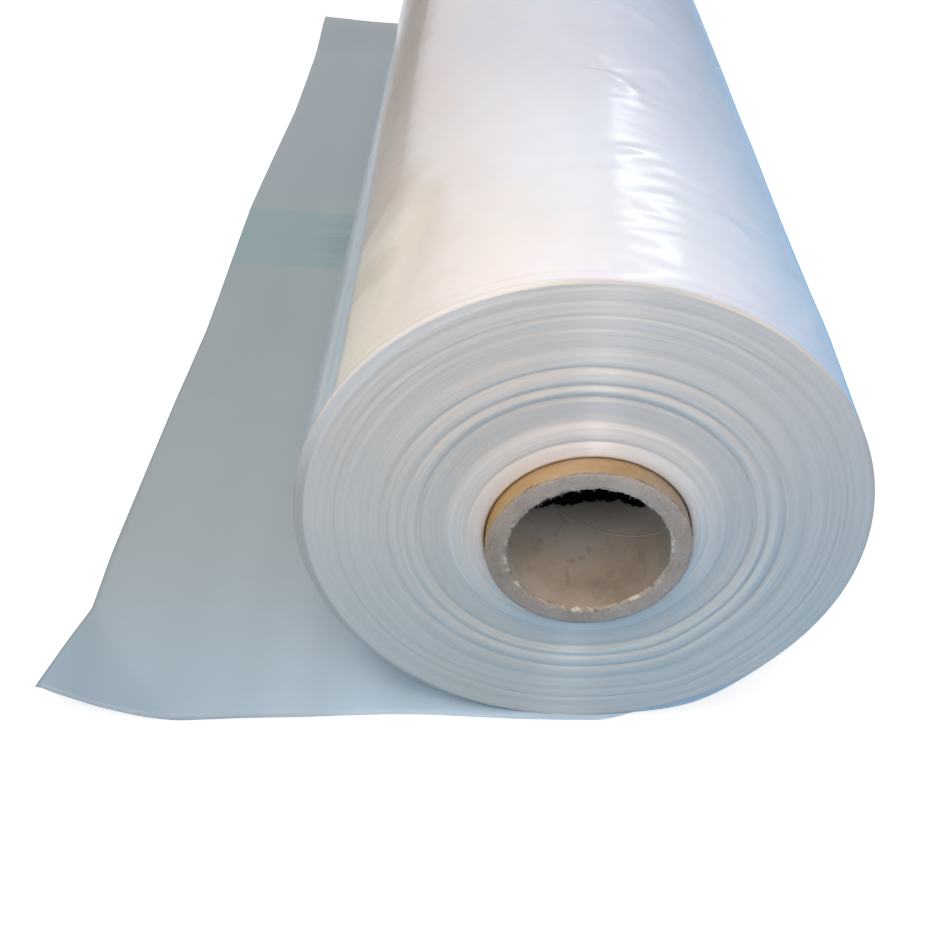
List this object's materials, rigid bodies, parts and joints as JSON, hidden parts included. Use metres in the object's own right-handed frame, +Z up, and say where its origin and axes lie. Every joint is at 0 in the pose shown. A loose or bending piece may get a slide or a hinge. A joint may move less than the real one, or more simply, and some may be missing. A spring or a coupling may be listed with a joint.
{
  "type": "roll of plastic sheeting",
  "caption": "Roll of milky plastic sheeting on a cardboard core, lying on its side with its free end run out flat on the floor.",
  "frame": {"origin": "on the floor, below the middle of the roll's axis, at the middle of its flat spot", "axes": "+Y along the roll's axis, from the end that the picture shows to the far end; -X from the roll towards the free edge of the loose end; +Z up from the floor"},
  "size_m": [0.41, 1.129, 0.2691],
  "materials": {
    "film": "glossy, milky, slightly creased",
    "core": "matt, fibrous"
  },
  "bodies": {
    "root": {"plastic_film": "film", "cardboard_core": "core"}
  },
  "joints": []
}
